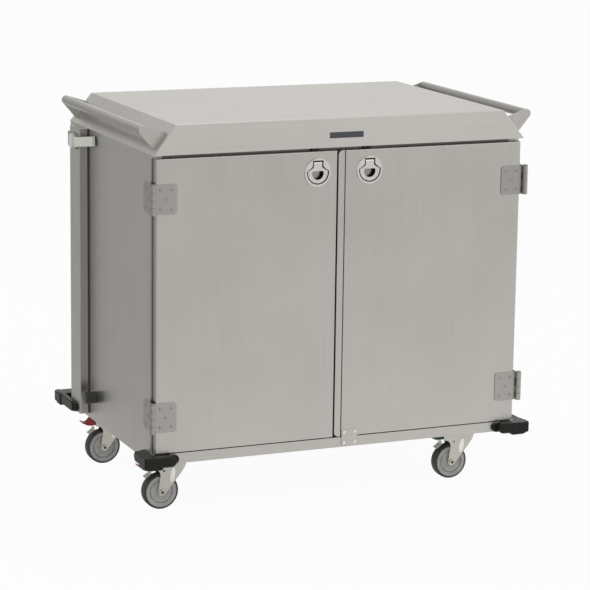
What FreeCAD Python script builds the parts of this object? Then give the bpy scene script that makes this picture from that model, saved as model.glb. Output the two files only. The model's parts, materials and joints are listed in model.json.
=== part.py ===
import FreeCAD, Part
import math
import os

# Closed hospital case cart: double-door steel cabinet on four swivel casters.
# Frame: origin on the floor under the middle of the cart, X to the right, Y to the rear, Z up.
# All sizes are in millimetres.

# Casters
wheel_diameter = 107.0
wheel_width = 32.0
tread_depth = 7.0
tread_crown = 0.4
hub_boss_radius = 10.0
hub_side_gap = 0.3
hub_groove_radius = 34.0
hub_groove_width = 2.4
hub_dish_depth = 3.0
axle_diameter = 10.0
axle_head_radius = 8.0
axle_head_length = 5.0
axle_recess_radius = 4.5
axle_recess_depth = 2.5
caster_height = 169.0
caster_trail = 50.0
caster_inset_x = 112.0
caster_inset_y = 114.0
fork_sheet = 3.0
fork_wheel_gap = 3.0
fork_nose_offset = 10.0
fork_crown_drop = 23.0
fork_nose_drop = 10.0
fork_tail_reach = 78.0
fork_tail_drop = 24.0
fork_waist_reach = 55.0
fork_waist_drop = 44.0
fork_boss_radius = 12.0
fork_hole_diameter = 7.0
fork_hole_reach = 44.0
fork_hole_drop = 29.0
race_radius = 30.0
race_height = 7.0
race_gap = 0.5
kingpin_diameter = 14.0
kingpin_head_radius = 11.0
kingpin_head_height = 5.0
caster_plate_length = 95.0
caster_plate_width = 80.0
caster_plate_thickness = 4.0
caster_plate_corner = 8.0
pedal_pin_reach = 70.0
pedal_pin_drop = 14.0
pedal_pin_diameter = 6.0
pedal_barrel_radius = 6.5
pedal_block_rise = 16.0
pedal_block_length = 17.0
pedal_tip_reach = 119.0
pedal_tip_rise = 6.0
pedal_lip_thickness = 4.0

# Base and cabinet
base_rim_drop = 5.0
base_rim_height = 30.0
base_sheet = 2.0
base_corner_radius = 4.0
channel_width = 130.0
channel_sheet = 3.0
cabinet_width = 1166.0
cabinet_depth = 752.0
sheet = 1.5
bend_radius = 2.5
side_skirt = 18.0
jamb_width = 35.0
rear_flange_width = 20.0
sill_height = 25.0
header_height = 46.0
header_depth = 40.0

# Doors
door_side_inset = 8.0
door_height = 854.0
door_thickness = 24.0
door_floor_gap = 2.0
door_lid_gap = 10.0
door_proud = 0.5
meeting_gap_x = -20.5
meeting_gap = 4.0
strip_width = 21.0
strip_corner_radius = 14.0
seal_edge_thickness = 1.8
seal_edge_margin = 4.0
seal_edge_end = 12.0
frame_seal_thickness = 2.5
frame_seal_width = 14.0
frame_seal_inset = 4.0
frame_seal_gap = 0.5
stop_plate_inset = 2.5
stop_plate_width = 51.0
stop_plate_rise = 20.0
stop_plate_drop = 26.0
stop_plate_thickness = 2.0

# Hinges
hinge_height = 87.0
hinge_foot_rise = 64.0
hinge_top_drop = 158.0
knuckle_radius = 8.0
knuckle_count = 4
knuckle_gap = 0.8
hinge_axis_out = 5.5
hinge_axis_offset = 8.5
hinge_sheet = 2.5
hinge_door_reach = 76.5
hinge_body_reach = 85.0
hinge_plate_clearance = 1.0
hinge_corner_radius = 10.0
hinge_pin_diameter = 8.0
hinge_pin_head_radius = 6.5
hinge_pin_head_height = 2.5

# Latches
latch_x = 82.0
latch_drop = 61.5
dish_flange_radius = 42.5
dish_flange_height = 3.0
dish_edge_round = 2.0
dish_cup_radius = 39.0
dish_depth = 15.5
dish_wall = 1.5
pull_radius = 31.0
pull_shoulder_rise = 5.0
pull_neck_half = 13.0
pull_neck_foot_rise = 16.0
pull_flank_sag = 2.0
pull_gap = 2.2
pull_set_back = 1.0
pull_thickness = 5.0
pull_finger_radius = 18.0
pull_finger_drop = 3.0
pull_finger_top = 4.5
pull_pin_rise = 27.5
pull_pin_diameter = 4.0
pull_barrel_radius = 4.5
bolt_width = 20.0
bolt_thickness = 4.0
bolt_length = 78.0
bolt_slot_clearance = 0.5
bolt_keeper_gap = 0.6
keeper_width = 40.0
keeper_depth = 14.0
keeper_thickness = 2.0

# Lid and handles
lid_side_overhang = 1.0
lid_face_overhang = 5.5
lid_rise = 85.0
lid_end_inset = 67.0
lid_face_inset = 8.5
lid_edge_radius = 3.0
lid_flange_width = 29.0
lid_front_flange_width = 46.0
handle_diameter = 27.0
handle_wall = 2.0
handle_end_inset = 28.5
handle_out = 20.0
handle_below_lid_top = 16.0
handle_bracket_thickness = 4.0
handle_foot_start = 0.15
handle_foot_end = 0.72

# Posts, catches and door stops on the sides
post_depth = 30.0
post_width = 90.0
post_rear_gap = 86.0
post_foot_drop = 15.0
post_corner_radius = 3.0
post_hole_diameter = 7.0
post_hole_inset = 36.0
post_hole_drop = 16.0
stop_radius = 18.0
stop_length = 36.0
stop_post_gap = 62.5
stop_rise = 50.0
stop_round = 2.5
catch_drop = 62.0
catch_block_height = 44.0
catch_barrel_height = 32.0
catch_ear_gap = 0.3
catch_tab_height = 29.0
catch_tab_tilt = 8.0
catch_pin_offset = 6.6
catch_pin_set_back = 8.0
catch_pin_diameter = 3.5
catch_barrel_radius = 3.8
catch_tab_reach = 76.0
catch_tab_thickness = 9.0
catch_tip_length = 25.0
catch_bevel = 11.0
catch_tab_panel_gap = 4.5
catch_block_start = 14.0
catch_block_length = 30.0
catch_block_depth = 9.0
catch_block_gap = 7.0
catch_base_thickness = 2.5
catch_base_overhang = 10.0

# Corner bumpers
bumper_height = 32.0
bumper_front_reach = 33.0
bumper_side_reach = 35.0
bumper_front_arm = 113.0
bumper_side_arm = 123.5
bumper_corner_radius = 26.0
bumper_corner_span = 58.0
bumper_corner_drop = 6.0
bumper_corner_fade = 8.0
bumper_arm_set_back = 3.0
bumper_backing = 9.0
bumper_backing_step = 2.0
bumper_pad_step = 14.0
bumper_edge_radius = 5.0
bumper_rear_lift = 14.0
bumper_rear_side_skin = 17.0
bumper_rear_arm_gap = 24.0

# Inside
shelf_heights = (285.0, 565.0)
shelf_side_gap = 4.5
shelf_front_gap = 56.0
shelf_rear_gap = 26.0
shelf_lip = 20.0
runner_leg = 25.0
runner_sheet = 2.0

running_clearance = 0.05
V = FreeCAD.Vector
X_AXIS = V(1, 0, 0)
Y_AXIS = V(0, 1, 0)
Z_AXIS = V(0, 0, 1)

# Heights and planes worked out from the sizes above
rim_bottom_z = caster_height - base_rim_drop
floor_z = rim_bottom_z + base_rim_height
door_bottom_z = floor_z + door_floor_gap
door_top_z = door_bottom_z + door_height
lid_bottom_z = door_top_z + door_lid_gap
lid_top_z = lid_bottom_z + lid_rise
half_width = cabinet_width / 2
half_depth = cabinet_depth / 2
rim_half_width = half_width - sheet
rail_y = -half_depth
door_front_y = rail_y - door_proud
door_back_y = door_front_y + door_thickness
frame_front_y = door_back_y + frame_seal_thickness + frame_seal_gap
rear_y = half_depth + sheet
jamb_x = half_width - jamb_width
door_edge_x = half_width - door_side_inset
hinge_axis_x = half_width + hinge_axis_out
hinge_axis_y = door_front_y - hinge_axis_offset
hinge_foot_heights = (hinge_foot_rise, door_height - hinge_top_drop)
latch_z = door_top_z - latch_drop
header_bottom_z = lid_bottom_z - header_height
header_back_y = frame_front_y + header_depth
strip_x = meeting_gap_x + meeting_gap
right_door_x = strip_x + strip_width
stop_plate_x = right_door_x + stop_plate_inset
wheel_radius = wheel_diameter / 2
fork_crown_z = caster_height - fork_crown_drop
fork_nose_z = fork_crown_z - fork_nose_drop
fork_tail_z = fork_crown_z - fork_tail_drop
fork_waist_z = fork_crown_z - fork_waist_drop
pedal_pin_z = fork_crown_z - pedal_pin_drop
pedal_block_z = pedal_pin_z + pedal_block_rise
pedal_tip_z = pedal_pin_z + pedal_tip_rise
caster_x = half_width - caster_inset_x
caster_y = half_depth - caster_inset_y
lid_half_width = half_width + lid_side_overhang
lid_half_depth = half_depth + lid_face_overhang
post_x = half_width + post_depth
post_rear_y = half_depth - post_rear_gap
post_front_y = post_rear_y - post_width
post_bottom_z = floor_z - post_foot_drop
stop_y = post_front_y - stop_post_gap
shelf_front_y = rail_y + shelf_front_gap

os.makedirs("parts", exist_ok=True)


def block(x0, x1, y0, y1, z0, z1):
    return Part.makeBox(x1 - x0, y1 - y0, z1 - z0, V(x0, y0, z0))


def rod(start, axis, radius, length):
    return Part.makeCylinder(radius, length, start, axis)


def prism(points, travel):
    wire = Part.makePolygon(points + [points[0]])
    return Part.Face(wire).extrude(travel)


def join(first, *rest):
    return first.fuse(list(rest)).removeSplitter()


def edges_along(shape, axis, keep):
    found = []
    for edge in shape.Edges:
        span = edge.Vertexes[-1].Point.sub(edge.Vertexes[0].Point)
        if span.Length > 0 and span.cross(axis).Length < 1e-6 * span.Length and keep(edge.CenterOfMass):
            found.append(edge)
    return found


def mirrored(shape):
    return shape.mirror(V(0, 0, 0), X_AXIS)


def rotated_ring(profile, origin, axis):
    wire = Part.makePolygon(profile + [profile[0]])
    return Part.Face(wire).revolve(origin, axis, 360)


def save(name, *solids):
    shape = solids[0] if len(solids) == 1 else Part.makeCompound(list(solids))
    shape.exportStep("parts/" + name + ".step")


# Base: floor tray with a downturned rim and a sill behind the doors
def base_pan():
    tray = block(-rim_half_width, rim_half_width, rail_y, half_depth, rim_bottom_z, floor_z)
    corners = edges_along(tray, Z_AXIS, lambda point: True)
    tray = tray.makeFillet(base_corner_radius, corners)
    hollow = block(-rim_half_width + base_sheet, rim_half_width - base_sheet, rail_y + base_sheet,
                   half_depth - base_sheet, rim_bottom_z - base_sheet, floor_z - base_sheet)
    sill = block(-jamb_x, jamb_x, frame_front_y, frame_front_y + base_sheet, floor_z, floor_z + sill_height)
    return join(tray.cut(hollow), sill)


# Cross channel under the floor, open upward, that carries a front and a rear caster
def cross_channel(x):
    y0 = rail_y + base_sheet
    y1 = half_depth - base_sheet
    outer = block(x - channel_width / 2, x + channel_width / 2, y0, y1, caster_height, floor_z - base_sheet)
    trough = block(x - channel_width / 2 + channel_sheet, x + channel_width / 2 - channel_sheet, y0, y1,
                   caster_height + channel_sheet, floor_z)
    return outer.cut(trough)


# Side panel with front jamb, rear flange, top flange and a skirt over the rim
def side_panel():
    outer = block(jamb_x, half_width, frame_front_y, half_depth, floor_z, lid_bottom_z)
    bends = edges_along(outer, Z_AXIS, lambda point: point.x > half_width - sheet)
    outer = outer.makeFillet(bend_radius, bends)
    inside = block(jamb_x - sheet, half_width - sheet, frame_front_y + sheet, half_depth - sheet,
                   floor_z - sheet, lid_bottom_z - sheet)
    narrow = block(jamb_x - sheet, half_width - rear_flange_width, frame_front_y + sheet, half_depth,
                   floor_z - sheet, lid_bottom_z)
    skirt = block(half_width - sheet, half_width, frame_front_y + bend_radius, half_depth - bend_radius,
                  floor_z - side_skirt, floor_z)
    return join(outer.cut(inside).cut(narrow), skirt)


def rear_panel():
    return block(-half_width + bend_radius, half_width - bend_radius, half_depth, rear_y,
                 floor_z - side_skirt, lid_bottom_z)


# Header between the jambs: a channel open to the rear
def front_header():
    outer = block(-jamb_x, jamb_x, frame_front_y, header_back_y, header_bottom_z, lid_bottom_z)
    inside = block(-jamb_x, jamb_x, frame_front_y + sheet, header_back_y, header_bottom_z + sheet,
                   lid_bottom_z - sheet)
    return outer.cut(inside)


def roof_liner():
    return block(-half_width + sheet, half_width - sheet, header_back_y, half_depth - sheet,
                 lid_bottom_z - 2 * sheet, lid_bottom_z - sheet)


# Lid: a hollow low hip with sloped ends and nearly upright faces, on an inward flange
def lid_half_sizes(z):
    share = (z - lid_bottom_z) / lid_rise
    return lid_half_width - lid_end_inset * share, lid_half_depth - lid_face_inset * share


def lid_rectangle(z, inset_x, inset_y):
    half_x, half_y = lid_half_sizes(z)
    x = half_x - inset_x
    y = half_y - inset_y
    return Part.makePolygon([V(-x, -y, z), V(x, -y, z), V(x, y, z), V(-x, y, z), V(-x, -y, z)])


def lid_shell():
    outer = Part.makeLoft([lid_rectangle(lid_bottom_z, 0, 0), lid_rectangle(lid_top_z, 0, 0)], True, True)
    upper_edges = [edge for edge in outer.Edges if edge.CenterOfMass.z > lid_bottom_z + sheet]
    outer = outer.makeFillet(lid_edge_radius, upper_edges)
    end_inset = sheet * math.hypot(lid_rise, lid_end_inset) / lid_rise
    face_inset = sheet * math.hypot(lid_rise, lid_face_inset) / lid_rise
    hollow = Part.makeLoft([lid_rectangle(lid_bottom_z + sheet, end_inset, face_inset),
                            lid_rectangle(lid_top_z - sheet, end_inset, face_inset)], True, True)
    mouth_x = lid_half_width - lid_flange_width
    mouth = block(-mouth_x, mouth_x, -lid_half_depth + lid_front_flange_width,
                  lid_half_depth - lid_flange_width, lid_bottom_z - sheet, lid_bottom_z + 2 * sheet)
    return outer.cut(hollow).cut(mouth)


# Push handle: a tube between two drop-shaped end brackets that stand on the sloped lid end
def slope_point(share):
    return V(lid_half_width - lid_end_inset * share, 0, lid_bottom_z + lid_rise * share)


def tangent_point(outside, centre, radius, side):
    reach = outside.sub(centre)
    base = math.atan2(reach.z, reach.x)
    turn = math.acos(radius / reach.Length)
    angle = base + side * turn
    return V(centre.x + radius * math.cos(angle), centre.y, centre.z + radius * math.sin(angle))


handle_centre = V(lid_half_width + handle_out, 0, lid_top_z - handle_below_lid_top)
handle_radius = handle_diameter / 2
handle_end_y = lid_half_depth - handle_end_inset
handle_inner_y = handle_end_y - handle_bracket_thickness


def handle_tube():
    start = V(handle_centre.x, -handle_inner_y, handle_centre.z)
    tube = rod(start, Y_AXIS, handle_radius, 2 * handle_inner_y)
    return tube.cut(rod(start, Y_AXIS, handle_radius - handle_wall, 2 * handle_inner_y))


def handle_bracket(y0):
    foot = slope_point(handle_foot_start)
    heel = slope_point(handle_foot_end)
    outer = tangent_point(foot, handle_centre, handle_radius, 1)
    upper = tangent_point(heel, handle_centre, handle_radius, -1)
    web = prism([foot, outer, handle_centre, upper, heel], V(0, handle_bracket_thickness, 0))
    disc = rod(handle_centre, Y_AXIS, handle_radius, handle_bracket_thickness)
    plate = join(web, disc)
    plate.translate(V(0, y0, 0))
    return plate


def handle_brackets():
    right = [handle_bracket(-handle_end_y), handle_bracket(handle_inner_y)]
    return right + [mirrored(plate) for plate in right]


# Post at the rear of the side: a tall channel, closed at its ends and open to the panel
def side_post():
    outer = block(half_width, post_x, post_front_y, post_rear_y, post_bottom_z, lid_bottom_z)
    corners = edges_along(outer, Z_AXIS, lambda point: point.x > half_width + sheet)
    outer = outer.makeFillet(post_corner_radius, corners)
    inside = block(half_width - sheet, post_x - sheet, post_front_y + sheet, post_rear_y - sheet,
                   post_bottom_z + sheet, lid_bottom_z - sheet)
    drain = rod(V(post_x - 2 * sheet, post_front_y + post_hole_inset, lid_bottom_z - post_hole_drop), X_AXIS,
                post_hole_diameter / 2, 3 * sheet)
    return outer.cut(inside).cut(drain)


def rubber_stop():
    puck = rod(V(half_width, stop_y, floor_z + stop_rise), X_AXIS, stop_radius, stop_length)
    rim = [edge for edge in puck.Edges if edge.CenterOfMass.x > half_width + stop_length - stop_round]
    return puck.makeFillet(stop_round, rim)


# Corner bumpers: a bulged corner and two arms, each a thick pad with a round end on a longer thin backing
def rounded_bar(length, thickness, height, edge_radius):
    end = height / 2
    bar = join(block(0, length - end, 0, thickness, -end, end),
               rod(V(length - end, 0, 0), Y_AXIS, end, thickness))
    rim = [edge for edge in bar.Edges if edge.BoundBox.YMax < 1e-6 < edge.BoundBox.XMax]
    return bar.makeFillet(edge_radius, rim)


def bumper_arm(length, thickness):
    pad = rounded_bar(length - bumper_pad_step, thickness, bumper_height, bumper_edge_radius)
    backing_height = bumper_height - 2 * bumper_backing_step
    backing = rounded_bar(length, bumper_backing, backing_height, bumper_backing_step)
    backing.translate(V(0, thickness - bumper_backing, 0))
    return join(pad, backing)


def bumper_corner(outer_x, outer_y):
    inner_x = outer_x - bumper_corner_span
    inner_y = outer_y + bumper_corner_span
    half = bumper_height / 2
    near = bumper_corner_fade / 2
    body = block(inner_x, outer_x, outer_y, inner_y, -half - bumper_corner_drop, half)
    body = body.makeFillet(bumper_corner_radius, edges_along(
        body, Z_AXIS, lambda p: p.x > outer_x - near and p.y < outer_y + near))
    body = body.makeFillet(bumper_corner_fade, edges_along(
        body, Z_AXIS, lambda p: (p.x > outer_x - near) != (p.y < outer_y + near)))
    rims = []
    for edge in body.Edges:
        middle = edge.CenterOfMass
        if edge.BoundBox.ZLength < 1e-6 and middle.x > inner_x + 1e-3 and middle.y < inner_y - 1e-3:
            rims.append(edge)
    return body.makeFillet(bumper_edge_radius, rims)


# The bumper is made for a front right corner, and cut away where the cabinet stands in it
def corner_bumper(outer_x, outer_y, front_arm, front_reach, side_arm, side_reach):
    front = mirrored(bumper_arm(front_arm, front_reach - bumper_arm_set_back))
    front.translate(V(outer_x, outer_y + bumper_arm_set_back, 0))
    side = bumper_arm(side_arm, side_reach - bumper_arm_set_back)
    side.rotate(V(0, 0, 0), Z_AXIS, 90)
    side.translate(V(outer_x - bumper_arm_set_back, outer_y, 0))
    body = join(bumper_corner(outer_x, outer_y), front, side)
    body.translate(V(0, 0, floor_z - bumper_height / 2))
    return body


def front_bumper():
    body = corner_bumper(half_width + bumper_side_reach, rail_y - bumper_front_reach, bumper_front_arm,
                         bumper_front_reach, bumper_side_arm, bumper_side_reach)
    return body.cut(block(0, half_width, rail_y, 0, rim_bottom_z - bumper_height, door_top_z))


def rear_bumper():
    outer_x = post_x + bumper_rear_side_skin
    outer_y = half_depth + bumper_front_reach
    rear_arm = outer_x - half_width - bumper_side_reach + bumper_front_arm
    side_arm = outer_y - post_front_y - bumper_rear_arm_gap
    body = corner_bumper(outer_x, -outer_y, rear_arm, outer_y - rear_y, side_arm, bumper_rear_side_skin)
    body = body.mirror(V(0, 0, 0), Y_AXIS)
    body.translate(V(0, 0, bumper_rear_lift))
    body = body.cut(block(0, half_width, 0, rear_y, rim_bottom_z - bumper_height, door_top_z))
    return body.cut(block(0, post_x, 0, post_rear_y, rim_bottom_z - bumper_height, door_top_z))


# Doors: an outer pan with returned edges, closed behind by a flat inner pan
def door_outer_pan(x0, x1, latch_at):
    pan = block(x0, x1, door_front_y, door_back_y, door_bottom_z, door_top_z)
    front_rim = [edge for edge in pan.Edges if abs(edge.CenterOfMass.y - door_front_y) < sheet]
    pan = pan.makeFillet(bend_radius, front_rim)
    hollow = block(x0 + sheet, x1 - sheet, door_front_y + sheet, door_back_y + sheet,
                   door_bottom_z + sheet, door_top_z - sheet)
    dish_hole = rod(V(latch_at, door_front_y - sheet, latch_z), Y_AXIS, dish_cup_radius + running_clearance,
                    3 * sheet)
    half_slot = bolt_width / 2 + bolt_slot_clearance
    slot = block(latch_at - half_slot, latch_at + half_slot, bolt_y - bolt_slot_clearance,
                 bolt_y + bolt_thickness + bolt_slot_clearance, door_top_z - 2 * sheet, door_top_z + sheet)
    return pan.cut(hollow).cut(dish_hole).cut(slot)


def door_inner_pan(x0, x1):
    return block(x0 + sheet, x1 - sheet, door_back_y - sheet, door_back_y, door_bottom_z + sheet,
                 door_top_z - sheet)


# Meeting strip on the free edge of the right door, a channel with rounded left corners
def meeting_strip():
    bar = block(strip_x, right_door_x, door_front_y, door_back_y, door_bottom_z, door_top_z)
    corners = edges_along(bar, Y_AXIS, lambda point: point.x < strip_x + sheet)
    bar = bar.makeFillet(strip_corner_radius, corners)
    front_rim = [edge for edge in bar.Edges if abs(edge.CenterOfMass.y - door_front_y) < sheet]
    bar = bar.makeFillet(sheet, front_rim)
    trough = block(strip_x + 2 * sheet, right_door_x - sheet, door_front_y + 2 * sheet, door_back_y,
                   door_bottom_z + strip_corner_radius, door_top_z - strip_corner_radius)
    return bar.cut(trough)


def meeting_seal():
    return block(meeting_gap_x, meeting_gap_x + seal_edge_thickness, door_front_y + seal_edge_margin,
                 door_back_y - seal_edge_margin, door_bottom_z + seal_edge_end, door_top_z - seal_edge_end)


# Seal on the front frame, a rectangular ring that the door backs close against
def door_seal():
    half_x = door_edge_x - frame_seal_inset
    z0 = door_bottom_z + frame_seal_inset
    z1 = door_top_z - frame_seal_inset
    ring = block(-half_x, half_x, frame_front_y - frame_seal_thickness, frame_front_y, z0, z1)
    mouth = block(-half_x + frame_seal_width, half_x - frame_seal_width,
                  frame_front_y - frame_seal_thickness, frame_front_y,
                  z0 + frame_seal_width, z1 - frame_seal_width)
    return ring.cut(mouth)


def bottom_stop_plate():
    plate = block(stop_plate_x, stop_plate_x + stop_plate_width, door_front_y - stop_plate_thickness,
                  door_front_y, floor_z - stop_plate_drop, door_bottom_z + stop_plate_rise)
    return plate.makeFillet(bend_radius, edges_along(plate, Y_AXIS, lambda point: True))


# Hinges: knuckles alternate between the door leaf and the body leaf, from the bottom up
knuckle_pitch = hinge_height / knuckle_count
plate_stand_off = knuckle_radius + hinge_plate_clearance


def hinge_bottom(rise):
    return door_bottom_z + rise


def knuckles(rise, first, tab):
    pieces = []
    for index in range(first, knuckle_count, 2):
        z0 = hinge_bottom(rise) + index * knuckle_pitch + knuckle_gap / 2
        height = knuckle_pitch - knuckle_gap
        barrel = rod(V(hinge_axis_x, hinge_axis_y, z0), Z_AXIS, knuckle_radius, height)
        pieces.append(barrel.fuse(tab(z0, z0 + height)))
    return pieces


def pin_bore(rise):
    start = V(hinge_axis_x, hinge_axis_y, hinge_bottom(rise))
    return rod(start, Z_AXIS, hinge_pin_diameter / 2 + running_clearance, hinge_height)


def door_leaf(rise):
    z0 = hinge_bottom(rise)
    near_x = hinge_axis_x - plate_stand_off
    far_x = hinge_axis_x - hinge_door_reach
    plate = block(far_x, near_x, door_front_y - hinge_sheet, door_front_y, z0, z0 + hinge_height)
    plate = plate.makeFillet(hinge_corner_radius, edges_along(plate, Y_AXIS, lambda p: p.x < near_x - sheet))
    tabs = knuckles(rise, 1, lambda low, high: block(
        near_x - sheet, hinge_axis_x, door_front_y - hinge_sheet, door_front_y, low, high))
    return join(plate, *tabs).cut(pin_bore(rise))


def body_leaf(rise):
    z0 = hinge_bottom(rise)
    near_y = hinge_axis_y + plate_stand_off
    far_y = hinge_axis_y + hinge_body_reach
    plate = block(half_width, half_width + hinge_sheet, near_y, far_y, z0, z0 + hinge_height)
    plate = plate.makeChamfer(hinge_corner_radius, edges_along(plate, X_AXIS, lambda p: p.y > far_y - sheet))
    tabs = knuckles(rise, 0, lambda low, high: block(
        half_width, half_width + hinge_sheet, hinge_axis_y, near_y + sheet, low, high))
    return join(plate, *tabs).cut(pin_bore(rise))


def hinge_pin(rise):
    start = V(hinge_axis_x, hinge_axis_y, hinge_bottom(rise))
    shank = rod(start, Z_AXIS, hinge_pin_diameter / 2, hinge_height)
    head = rod(V(hinge_axis_x, hinge_axis_y, start.z + hinge_height), Z_AXIS, hinge_pin_head_radius,
               hinge_pin_head_height)
    return join(shank, head)


# Latch: a flanged round dish, a bulb-shaped pull on a cross pin, and a bolt inside the door
dish_back_y = door_front_y + dish_depth
bolt_y = (dish_back_y + door_back_y - sheet - bolt_thickness) / 2
bolt_top_z = lid_bottom_z - keeper_thickness - bolt_keeper_gap
face_front_y = door_front_y - dish_flange_height
pull_front_y = face_front_y + pull_set_back
pull_pin_y = pull_front_y + pull_barrel_radius
pull_pin_z = latch_z + pull_pin_rise


# Bulb outline shared by the pull and, grown by the gap, by the opening it lies in
def bulb(x, y0, depth, grow, top_rise):
    radius = pull_radius + grow
    neck = pull_neck_half + grow
    shoulder_x = math.sqrt(radius ** 2 - pull_shoulder_rise ** 2)
    shoulder_z = latch_z + pull_shoulder_rise
    foot_z = latch_z + pull_neck_foot_rise + grow
    flank_x = (shoulder_x + neck) / 2 - pull_flank_sag
    flank_z = (shoulder_z + foot_z) / 2
    top_z = latch_z + top_rise + grow
    corners = [V(x - shoulder_x, y0, shoulder_z), V(x + shoulder_x, y0, shoulder_z),
               V(x + neck, y0, foot_z), V(x + neck, y0, top_z), V(x - neck, y0, top_z),
               V(x - neck, y0, foot_z)]
    edges = [
        Part.Arc(corners[0], V(x, y0, latch_z - radius), corners[1]).toShape(),
        Part.Arc(corners[1], V(x + flank_x, y0, flank_z), corners[2]).toShape(),
        Part.LineSegment(corners[2], corners[3]).toShape(),
        Part.LineSegment(corners[3], corners[4]).toShape(),
        Part.LineSegment(corners[4], corners[5]).toShape(),
        Part.Arc(corners[5], V(x - flank_x, y0, flank_z), corners[0]).toShape()]
    return Part.Face(Part.Wire(edges)).extrude(V(0, depth, 0))


def latch_dish(x):
    inner = dish_cup_radius - dish_wall
    profile = [V(x, dish_back_y - dish_wall, latch_z), V(x, dish_back_y, latch_z),
               V(x + dish_cup_radius, dish_back_y, latch_z), V(x + dish_cup_radius, door_front_y, latch_z),
               V(x + dish_flange_radius, door_front_y, latch_z),
               V(x + dish_flange_radius - dish_edge_round, face_front_y, latch_z),
               V(x, face_front_y, latch_z), V(x, door_front_y, latch_z), V(x + inner, door_front_y, latch_z),
               V(x + inner, dish_back_y - dish_wall, latch_z)]
    cup = rotated_ring(profile, V(x, 0, latch_z), Y_AXIS)
    opening = bulb(x, face_front_y, dish_flange_height, pull_gap, pull_pin_rise + pull_barrel_radius)
    half_chord = math.sqrt(dish_cup_radius ** 2 - (pull_pin_rise + pull_pin_diameter / 2) ** 2)
    pin = rod(V(x - half_chord, pull_pin_y, pull_pin_z), X_AXIS, pull_pin_diameter / 2, 2 * half_chord)
    return join(cup.cut(opening), pin)


def latch_pull(x):
    y0 = pull_front_y
    plate = bulb(x, y0, pull_thickness, 0, pull_pin_rise)
    finger = rod(V(x, y0, latch_z - pull_finger_drop), Y_AXIS, pull_finger_radius, pull_thickness)
    above = block(x - pull_radius, x + pull_radius, y0, y0 + pull_thickness, latch_z + pull_finger_top,
                  latch_z + pull_radius)
    barrel = rod(V(x - pull_neck_half, pull_pin_y, pull_pin_z), X_AXIS, pull_barrel_radius,
                 2 * pull_neck_half)
    bore = rod(V(x - pull_neck_half, pull_pin_y, pull_pin_z), X_AXIS,
               pull_pin_diameter / 2 + running_clearance, 2 * pull_neck_half)
    return join(plate.cut(finger.cut(above)), barrel).cut(bore)


def latch_bolt(x):
    bar = block(x - bolt_width / 2, x + bolt_width / 2, bolt_y, bolt_y + bolt_thickness,
                bolt_top_z - bolt_length, bolt_top_z)
    tip = edges_along(bar, X_AXIS, lambda p: p.z > bolt_top_z - sheet and p.y < bolt_y + sheet)
    return bar.makeChamfer(bolt_thickness / 2, tip)


def latch_keeper(x):
    middle_y = bolt_y + bolt_thickness / 2
    plate = block(x - keeper_width / 2, x + keeper_width / 2, middle_y - keeper_depth / 2,
                  middle_y + keeper_depth / 2, lid_bottom_z - keeper_thickness, lid_bottom_z)
    half_slot = bolt_width / 2 + bolt_slot_clearance
    slot = block(x - half_slot, x + half_slot, bolt_y - bolt_slot_clearance,
                 bolt_y + bolt_thickness + bolt_slot_clearance, lid_bottom_z - keeper_thickness, lid_bottom_z)
    return plate.cut(slot)


# Hold-open catch: a rocker on a pin at the outer front corner of the post
catch_pin_x = post_x + catch_pin_offset
catch_pin_y = post_front_y + catch_pin_set_back
catch_z = lid_bottom_z - catch_drop
catch_block_top = catch_z + catch_block_height
catch_mid_z = catch_z + catch_block_height / 2
catch_barrel_z = catch_mid_z - catch_barrel_height / 2


def hold_open_catch():
    tab_z = catch_mid_z - catch_tab_height / 2
    tip_y = post_front_y - catch_tab_reach
    tip_x = half_width + catch_tab_panel_gap
    root = catch_pin_x - catch_barrel_radius / 2
    outer_x = tip_x + catch_tab_thickness
    bend_y = tip_y + catch_tip_length
    tab = prism([V(root, catch_pin_y, tab_z), V(root, post_front_y - post_corner_radius, tab_z),
                 V(tip_x, bend_y, tab_z), V(tip_x, tip_y, tab_z), V(outer_x, tip_y, tab_z),
                 V(outer_x, bend_y - catch_tab_thickness / 2, tab_z),
                 V(root + catch_barrel_radius, post_front_y - catch_tab_thickness, tab_z),
                 V(catch_pin_x + catch_barrel_radius, catch_pin_y, tab_z)], V(0, 0, catch_tab_height))
    tab.rotate(V(catch_pin_x, catch_pin_y, catch_mid_z), X_AXIS, -catch_tab_tilt)
    block_y = catch_pin_y + catch_block_start
    inner_x = post_x + catch_block_gap
    web = prism([V(catch_pin_x - sheet, catch_pin_y, catch_barrel_z),
                 V(catch_pin_x + catch_barrel_radius, catch_pin_y, catch_barrel_z),
                 V(catch_pin_x + catch_barrel_radius, block_y + sheet, catch_barrel_z),
                 V(inner_x, block_y + sheet, catch_barrel_z)], V(0, 0, catch_barrel_height))
    thumb = block(inner_x, inner_x + catch_block_depth, block_y, block_y + catch_block_length,
                  catch_z, catch_block_top)
    bevel = edges_along(thumb, X_AXIS, lambda p: p.y > block_y + sheet)
    thumb = thumb.makeChamfer(catch_bevel, bevel)
    pin_foot = V(catch_pin_x, catch_pin_y, catch_barrel_z)
    barrel = rod(pin_foot, Z_AXIS, catch_barrel_radius, catch_barrel_height)
    bore = rod(pin_foot, Z_AXIS, catch_pin_diameter / 2 + running_clearance, catch_barrel_height)
    return join(tab, web, thumb, barrel).cut(bore)


def catch_base():
    plate = block(post_x, post_x + catch_base_thickness, post_front_y + post_corner_radius,
                  post_rear_y + catch_base_overhang, catch_z, catch_block_top)
    height = catch_barrel_z - catch_ear_gap - catch_z
    ears = []
    for z0 in (catch_z, catch_block_top - height):
        lug = rod(V(catch_pin_x, catch_pin_y, z0), Z_AXIS, catch_barrel_radius, height)
        arm = block(post_x, catch_pin_x, catch_pin_y - catch_barrel_radius, catch_pin_y + catch_barrel_radius,
                    z0, z0 + height)
        ears.append(lug.fuse(arm))
    pin = rod(V(catch_pin_x, catch_pin_y, catch_z), Z_AXIS, catch_pin_diameter / 2, catch_block_height)
    return join(plate, pin, *ears)


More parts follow.
